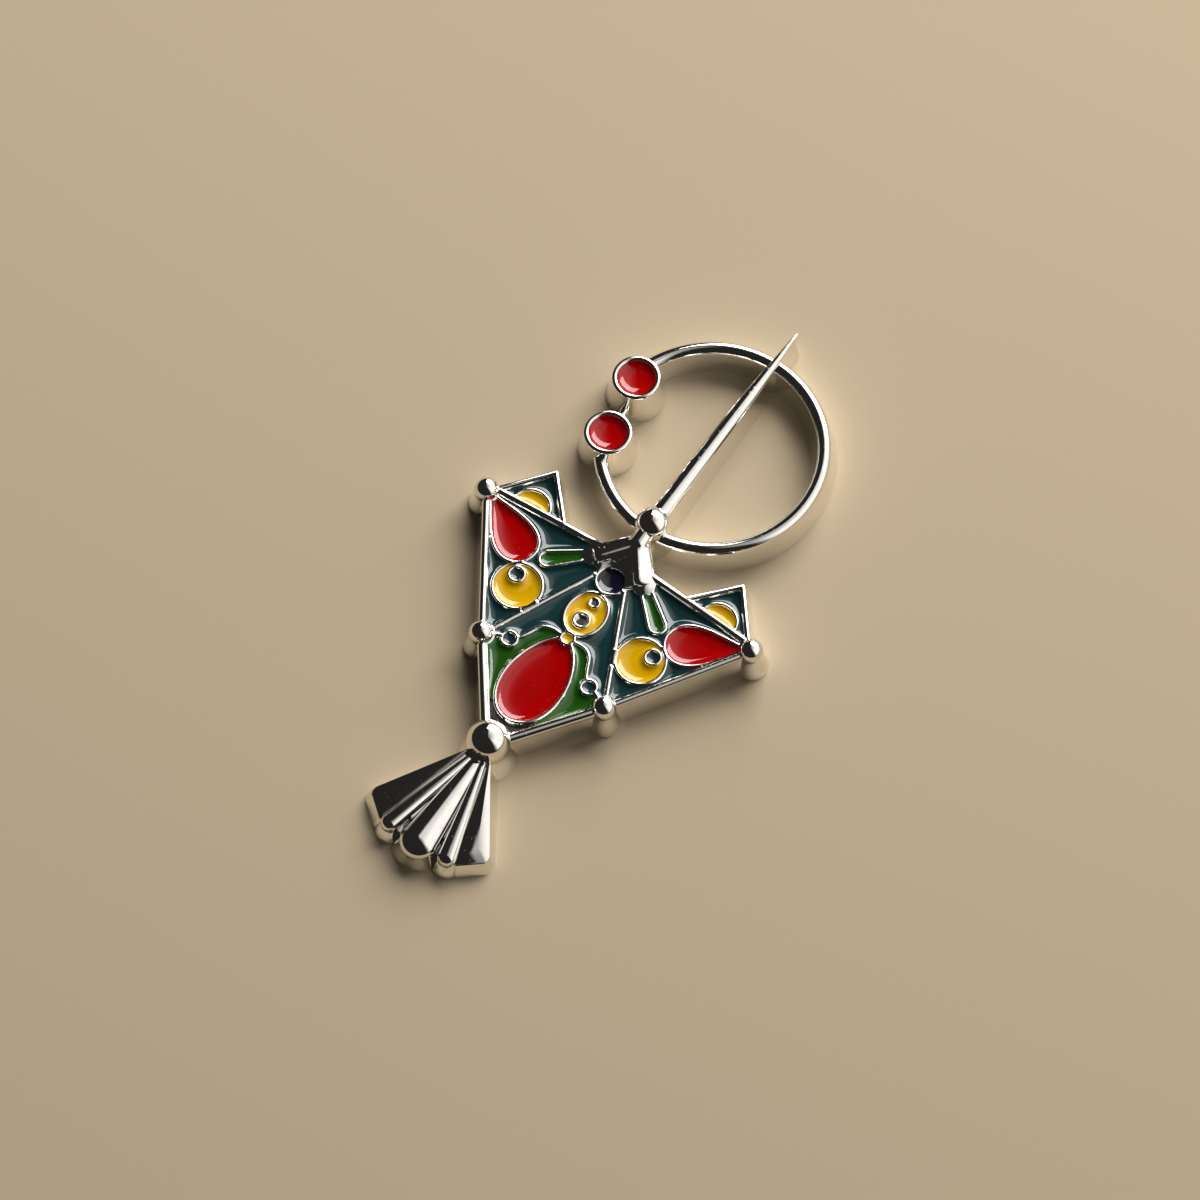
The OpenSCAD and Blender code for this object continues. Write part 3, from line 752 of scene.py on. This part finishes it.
def maths(tree, operation, first, second):
    """One step of arithmetic on two numbers or sockets."""
    made = tree.nodes.new("ShaderNodeMath")
    made.operation = operation
    for socket, value in zip(made.inputs, (first, second)):
        if isinstance(value, (int, float)):
            socket.default_value = value
        else:
            tree.links.new(value, socket)
    return made.outputs[0]


def blended(tree, factor, low, high):
    """A colour between two colours."""
    made = tree.nodes.new("ShaderNodeMix")
    made.data_type = "RGBA"
    for socket, value in ((made.inputs[0], factor), (made.inputs[6], low), (made.inputs[7], high)):
        if isinstance(value, (int, float, tuple)):
            socket.default_value = value
        else:
            tree.links.new(value, socket)
    return made.outputs[2]


def grain(tree, place, scale, detail=2.0):
    """Soft noise, from 0 to 1."""
    cloud = node(tree, "ShaderNodeTexNoise", Scale=scale, Detail=detail)
    tree.links.new(place, cloud.inputs["Vector"])
    return cloud.outputs["Fac"]


COLOUR, NUMBER = "NodeSocketColor", "NodeSocketFloat"
SURFACE = [("Colour", COLOUR), ("Roughness", NUMBER), ("Height", NUMBER)]
plating, given, made = shader_group(
    "plated_casting",
    [("Bright", COLOUR, (0.9, 0.88, 0.84, 1)),
     ("Dull", COLOUR, (0.5, 0.47, 0.42, 1)),
     ("Gloss", NUMBER, 0.06)],
    SURFACE)
place = plating.nodes.new("ShaderNodeTexCoord").outputs["Object"]
clouds = grain(plating, place, 900, 3)
peel = grain(plating, place, 2600, 2)
pits = grain(plating, place, 5200, 1)
stretched = plating.nodes.new("ShaderNodeMapping")
stretched.inputs["Scale"].default_value = (9000, 500, 500)
stretched.inputs["Rotation"].default_value = (0.2, 0.1, 0.7)
plating.links.new(place, stretched.inputs["Vector"])
scratches = grain(plating, stretched.outputs[0], 1.0, 2)
worn = maths(plating, "MULTIPLY", maths(plating, "SUBTRACT", clouds, 0.5), 0.5)
speck = maths(plating, "GREATER_THAN", pits, 0.73)
mask = maths(plating, "ADD", maths(plating, "MAXIMUM", worn, 0.0), maths(plating, "MULTIPLY", speck, 0.25))
tone = blended(plating, mask, given.outputs["Bright"], given.outputs["Dull"])
plating.links.new(tone, made.inputs["Colour"])
rough = maths(plating, "ADD", given.outputs["Gloss"], maths(plating, "MULTIPLY", mask, 0.35))
uneven = maths(plating, "MULTIPLY", maths(plating, "SUBTRACT", scratches, 0.5), 0.04)
rough = maths(plating, "ADD", rough, uneven)
plating.links.new(rough, made.inputs["Roughness"])
height = maths(plating, "ADD", maths(plating, "MULTIPLY", peel, 0.6),
               maths(plating, "MULTIPLY", scratches, 0.25))
height = maths(plating, "SUBTRACT", height, maths(plating, "MULTIPLY", speck, 0.5))
plating.links.new(height, made.inputs["Height"])


def finish(name, group, settings, metallic, bump, coat=0.0):
    """A material whose colour, roughness and relief come from a shared group."""
    material = bpy.data.materials.new(name)
    material.use_nodes = True
    tree = material.node_tree
    shader = tree.nodes["Principled BSDF"]
    shader.inputs["Metallic"].default_value = metallic
    shader.inputs["Coat Weight"].default_value = coat
    shader.inputs["Coat Roughness"].default_value = 0.02
    source = tree.nodes.new("ShaderNodeGroup")
    source.node_tree = group
    for label, value in settings.items():
        source.inputs[label].default_value = value
    relief = node(tree, "ShaderNodeBump", Strength=1.0, Distance=bump)
    tree.links.new(source.outputs["Colour"], shader.inputs["Base Color"])
    tree.links.new(source.outputs["Roughness"], shader.inputs["Roughness"])
    tree.links.new(source.outputs["Height"], relief.inputs["Height"])
    tree.links.new(relief.outputs[0], shader.inputs["Normal"])
    return material


def stray_faces(shape):
    """The faces that aren't joined to the largest skin: bubbles that a cut left behind."""
    skins, seen = [], set()
    for first in shape.faces:
        if first in seen:
            continue
        seen.add(first)
        skin, queue = [], [first]
        while queue:
            face = queue.pop()
            skin.append(face)
            joints = [edge for edge in face.edges if len(edge.link_faces) == 2]
            for other in (neighbour for edge in joints for neighbour in edge.link_faces):
                if other not in seen:
                    seen.add(other)
                    queue.append(other)
        skins.append(skin)
    skins.sort(key=len)
    return [face for skin in skins[:-1] for face in skin]


def completed(piece, material, nodes, sharp=32):
    """Brings a finished piece to metres, cleans its mesh, smooths all but its sharp edges
    and fixes it on the frame."""
    hair = 1e-7
    piece.data.transform(Matrix.Scale(MM, 4))
    shape = bmesh.new()
    shape.from_mesh(piece.data)
    bmesh.ops.remove_doubles(shape, verts=shape.verts, dist=hair)
    bmesh.ops.dissolve_degenerate(shape, edges=shape.edges, dist=hair)
    bmesh.ops.dissolve_verts(shape, verts=[v for v in shape.verts if len(v.link_edges) == 2])
    bmesh.ops.delete(shape, geom=stray_faces(shape), context="FACES")
    for face in shape.faces:
        face.smooth = True
    for edge in shape.edges:
        edge.smooth = len(edge.link_faces) == 2 and edge.calc_face_angle(0) < math.radians(sharp)
    shape.to_mesh(piece.data)
    shape.free()
    piece.data.materials.clear()
    piece.data.materials.append(material)
    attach(piece, "root")
    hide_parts(*nodes)
    return piece


CASTING_RELIEF = 0.0000022
casting_finish = finish("bright_plating", plating, {}, 1.0, CASTING_RELIEF)
casting.name = "cast_metal"
completed(casting, casting_finish, ["cast_body"])
even = casting.modifiers.new("even_shading", "WEIGHTED_NORMAL")
even.keep_sharp = True

# The enamel: coloured resin dripped into each pool and cured. It clings to the tops of the
# lines and sinks to a shallow dish between them, so every pool is a small curved mirror.
ENAMEL_EDGE = 1.583
ENAMEL_SINK = 0.2
ENAMEL_CLING = 0.2
ENAMEL_GRID = 0.075
ENAMEL_LAP = 0.014
ENAMEL_RELIEF = 0.0000008
enamel_body, given, made = shader_group(
    "soft_enamel",
    [("Deep", COLOUR, (0.1, 0.1, 0.1, 1)),
     ("Light", COLOUR, (0.2, 0.2, 0.2, 1)),
     ("Gloss", NUMBER, 0.07)],
    SURFACE)
place = enamel_body.nodes.new("ShaderNodeTexCoord").outputs["Object"]
drift = grain(enamel_body, place, 700, 3)
motes = maths(enamel_body, "GREATER_THAN", grain(enamel_body, place, 6500, 1), 0.76)
ripple = grain(enamel_body, place, 1500, 1)
tone = blended(enamel_body, drift, given.outputs["Deep"], given.outputs["Light"])
lint = blended(enamel_body, maths(enamel_body, "MULTIPLY", motes, 0.12), tone, (0.5, 0.48, 0.44, 1))
enamel_body.links.new(lint, made.inputs["Colour"])
rough = maths(enamel_body, "ADD", given.outputs["Gloss"], maths(enamel_body, "MULTIPLY", drift, 0.04))
enamel_body.links.new(rough, made.inputs["Roughness"])
height = maths(enamel_body, "ADD", ripple, maths(enamel_body, "MULTIPLY", motes, 0.3))
enamel_body.links.new(height, made.inputs["Height"])


def pooled(name, colour, edge_z=ENAMEL_EDGE, sink=ENAMEL_SINK, floor_z=CELL_FLOOR, outlines=None):
    """One pool of enamel, dished from its edge, on the floor of its cell."""
    if outlines is None:
        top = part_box(name)[1][2] / MM
        outlines = [widened(finer(outline), ENAMEL_LAP) for outline in flat_outlines(name, top)]

    def dish(points, triangles, rim):
        pull = 1 / ENAMEL_CLING ** 2
        return edge_z - sink * relaxed(points, triangles, rim, pull) / ENAMEL_CLING ** 2

    piece = skinned(name + "_pool", outlines, ENAMEL_GRID, dish, floor_z)
    return completed(piece, colour, [name], 50)


def enamel(name, deep, light):
    """A glossy enamel whose colour drifts between two tones."""
    tones = {"Deep": (*deep, 1), "Light": (*light, 1)}
    material = finish(name, enamel_body, tones, 0.0, ENAMEL_RELIEF, 1.0)
    material.node_tree.nodes["Principled BSDF"].inputs["Specular IOR Level"].default_value = 0.1
    return material


# Red enamel: the large centre drop, the two wing drops, and the two cups on the ring, whose
# pools stand higher and dish deeper than the ones on the plate.
CUP_POOL_EDGE = CUP_TOP - 0.09
CUP_POOL_SINK = 0.3
CUP_POOL_RADIUS = CUP_MOUTH + 0.004
red = enamel("red_enamel", (0.44, 0.0, 0.0), (0.54, 0.0, 0.0))
for name in ("red_centre_drop", "red_wing_drop_left", "red_wing_drop_right"):
    pooled(name, red)
for name, degrees in (("red_upper_terminal", UPPER_CUP), ("red_lower_terminal", LOWER_CUP)):
    mouth = np.array([cup_place(degrees) + CUP_POOL_RADIUS * np.array([math.cos(u), math.sin(u)])
                      for u in np.linspace(0, 2 * math.pi, 80, endpoint=False)])
    pooled(name, red, CUP_POOL_EDGE, CUP_POOL_SINK, CUP_TOP - CUP_DEPTH, [mouth])

# Yellow enamel: the oval round the small stud and ring, the dot above the centre drop, the
# wing discs and the half discs of the tabs.
yellow = enamel("yellow_enamel", (0.86, 0.47, 0.0), (0.95, 0.56, 0.0))
for name in ("yellow_oval", "yellow_small_dot", "yellow_wing_disc_left", "yellow_wing_disc_right",
             "yellow_tab_disc_left", "yellow_tab_disc_right"):
    pooled(name, yellow)

# Green enamel: the slim drops under the collar's arms and the leaves beside the centre drop,
# dripped in and cured like the others.
green = enamel("green_enamel", (0.012, 0.075, 0.004), (0.024, 0.13, 0.008))
for name in ("green_wing_drop_left", "green_wing_drop_right", "green_leaf_left", "green_leaf_right"):
    pooled(name, green)

# Dark blue enamel: the one round dot in the crotch of the collar, almost black, dripped into
# its own small cell.
navy = enamel("navy_enamel", (0.004, 0.004, 0.016), (0.01, 0.01, 0.03))
pooled("dark_dot", navy)

# Blue-green enamel: the ground colour of the wings, the centre and the tabs, and the middles
# of the four small rings.
teal = enamel("teal_enamel", (0.008, 0.032, 0.034), (0.014, 0.055, 0.06))
for part in ("tab", "wing_side", "wing_top", "wing_low", "centre", "wing_ring", "leaf_ring"):
    for side in ("left", "right"):
        pooled(f"teal_{part}_{side}", teal)

# The back pin: a plain strip with two lugs and a straight wire, soldered into the hollow of
# the back. It is of plated steel, a little duller than the front.
PIN_LENGTH = 8.4
PIN_Y = share(0, 0.17)[1]
STRIP_HALF = 0.7
STRIP_ROUND = 0.2
WIRE_RADIUS = 0.18
WIRE_Z = 0.24
PIN_RELIEF = 0.000004
strip = ordered([(x * (PIN_LENGTH / 2 - STRIP_ROUND), PIN_Y + y * (STRIP_HALF - STRIP_ROUND))
                 for x in (-1, 1) for y in (-1, 1)])
pin = stacked("strip", [at_height(grown(strip, width, 9), z)
                        for width, z in ((0.16, 0.551), (0.2, 0.58), (0.2, 0.77), (0.16, 0.799))])
for side in (-1, 1):
    lug_x = side * (PIN_LENGTH / 2 - 0.25)
    lug = ordered([(lug_x + x * 0.12, PIN_Y + y * 0.2) for x in (-1, 1) for y in (-1, 1)])
    combined(pin, stacked("lug", [at_height(grown(lug, width), z)
                                  for width, z in ((0.04, 0.06), (0.08, 0.1), (0.08, 0.6))]))
wire_end = PIN_LENGTH / 2 - 0.35
combined(pin, rod("wire", (-wire_end, PIN_Y), (wire_end, PIN_Y), WIRE_RADIUS, WIRE_Z, 32))
pin.name = "pin_and_strip"
steel = {"Bright": (0.62, 0.61, 0.59, 1), "Dull": (0.32, 0.3, 0.28, 1), "Gloss": 0.2}
completed(pin, finish("plated_steel", plating, steel, 1.0, PIN_RELIEF), ["back_pin"])

# The table under the brooch: a plain pale matt sheet, warm in tone. It isn't part of the brooch,
# so it is on the stage only.
bpy.ops.mesh.primitive_plane_add(size=1.2, location=(0, 0, 0))
table = bpy.context.object
table.name = "pale_table"
sheet = bpy.data.materials.new("pale_table")
sheet.use_nodes = True
matt_shader = sheet.node_tree.nodes["Principled BSDF"]
matt_shader.inputs["Base Color"].default_value = (0.66, 0.529, 0.357, 1)
matt_shader.inputs["Roughness"].default_value = 0.85
table.data.materials.append(sheet)

# The light: one soft panel low beyond the needle, which casts the shadows, and a wide glow from
# the same side that fades into an almost dark room. The glow is there to be mirrored by the
# metal and the enamel, so it lights matt surfaces far less than it shows.
GLOW = 1.1
GLOW_AZIMUTH = 38.0
GLOW_ON_MATT = 0.15
ROOM = 0.018
PANEL_AZIMUTH = -4.0
PANEL_ELEVATION = 33.0
PANEL_DISTANCE = 0.5
DAYLIGHT = (1.0, 0.985, 0.955)
scene = bpy.context.scene
scene.view_settings.view_transform = "Standard"
world = scene.world or bpy.data.worlds.new("studio")
scene.world = world
world.use_nodes = True
sky = world.node_tree
sky_way = sky.nodes.new("ShaderNodeTexCoord").outputs["Generated"]


def facing(tree, way, axis):
    """How far a way points along an axis."""
    made = tree.nodes.new("ShaderNodeVectorMath")
    made.operation = "DOT_PRODUCT"
    tree.links.new(way, made.inputs[0])
    made.inputs[1].default_value = axis
    return made.outputs["Value"]


def faded(tree, value, near, far, high=1.0, low=0.0):
    """High up to one value, low beyond another, with a smooth fall between."""
    made = tree.nodes.new("ShaderNodeMapRange")
    made.interpolation_type = "SMOOTHSTEP"
    tree.links.new(value, made.inputs["Value"])
    for label, number in (("From Min", near), ("From Max", far), ("To Min", high), ("To Max", low)):
        made.inputs[label].default_value = number
    return made.outputs["Result"]


turned_to = math.radians(GLOW_AZIMUTH)
across = facing(sky, sky_way, (math.cos(turned_to), -math.sin(turned_to), 0))
ahead = facing(sky, sky_way, (math.sin(turned_to), math.cos(turned_to), 0))
turn = maths(sky, "ABSOLUTE", maths(sky, "ARCTAN2", across, ahead), 0)
lift = maths(sky, "ARCSINE", facing(sky, sky_way, (0, 0, 1)), 0)
sideways = faded(sky, turn, math.radians(52), math.radians(76))
upward = faded(sky, lift, math.radians(48), math.radians(94), 1, 0.12)
above_table = faded(sky, lift, 0.0, math.radians(12), 0, 1)
glow = maths(sky, "MULTIPLY", maths(sky, "MULTIPLY", sideways, upward),
             maths(sky, "MULTIPLY", above_table, GLOW))
on_matt = sky.nodes.new("ShaderNodeLightPath").outputs["Is Diffuse Ray"]
glow = maths(sky, "MULTIPLY", glow, faded(sky, on_matt, 0.0, 1.0, 1, GLOW_ON_MATT))
background = sky.nodes["Background"]
background.inputs["Color"].default_value = (*DAYLIGHT, 1)
sky.links.new(maths(sky, "ADD", glow, ROOM), background.inputs["Strength"])

panel = bpy.data.lights.new("soft_panel", "AREA")
panel.shape = "RECTANGLE"
panel.size = 0.47
panel.size_y = 0.33
panel.energy = 3.6
panel.color = DAYLIGHT
holder = bpy.data.objects.new("soft_panel", panel)
bpy.context.collection.objects.link(holder)
swing, rise = math.radians(PANEL_AZIMUTH), math.radians(PANEL_ELEVATION)
way = Vector((math.sin(swing) * math.cos(rise), math.cos(swing) * math.cos(rise), math.sin(rise)))
holder.location = way * PANEL_DISTANCE
holder.rotation_euler = way.to_track_quat("Z", "Y").to_euler()

# The camera: far off with a long lens, at the photograph's angle. The frame is 1200 pixels
# wide at the photograph's own scale.
CAMERA_AZIMUTH, CAMERA_ELEVATION = 34.3, 64.0
CAMERA_DISTANCE = 0.9
FRAME_PIXELS = 1200
PIXELS_PER_MM = 17.4
swing, rise = math.radians(CAMERA_AZIMUTH), math.radians(CAMERA_ELEVATION)
look = Vector((-math.sin(swing) * math.cos(rise), math.cos(swing) * math.cos(rise), -math.sin(rise)))
aim = Vector((0.21, BALL_LINE_Y - 2.19, 1.75)) * MM
camera_data = bpy.data.cameras.new("camera")
camera_data.sensor_width = 36
camera_data.lens = camera_data.sensor_width * CAMERA_DISTANCE / (FRAME_PIXELS / PIXELS_PER_MM * MM)
camera_data.clip_start = 0.01
camera = bpy.data.objects.new("camera", camera_data)
bpy.context.collection.objects.link(camera)
camera.location = aim - look * CAMERA_DISTANCE
camera.rotation_euler = look.to_track_quat("-Z", "Y").to_euler()
scene.camera = camera
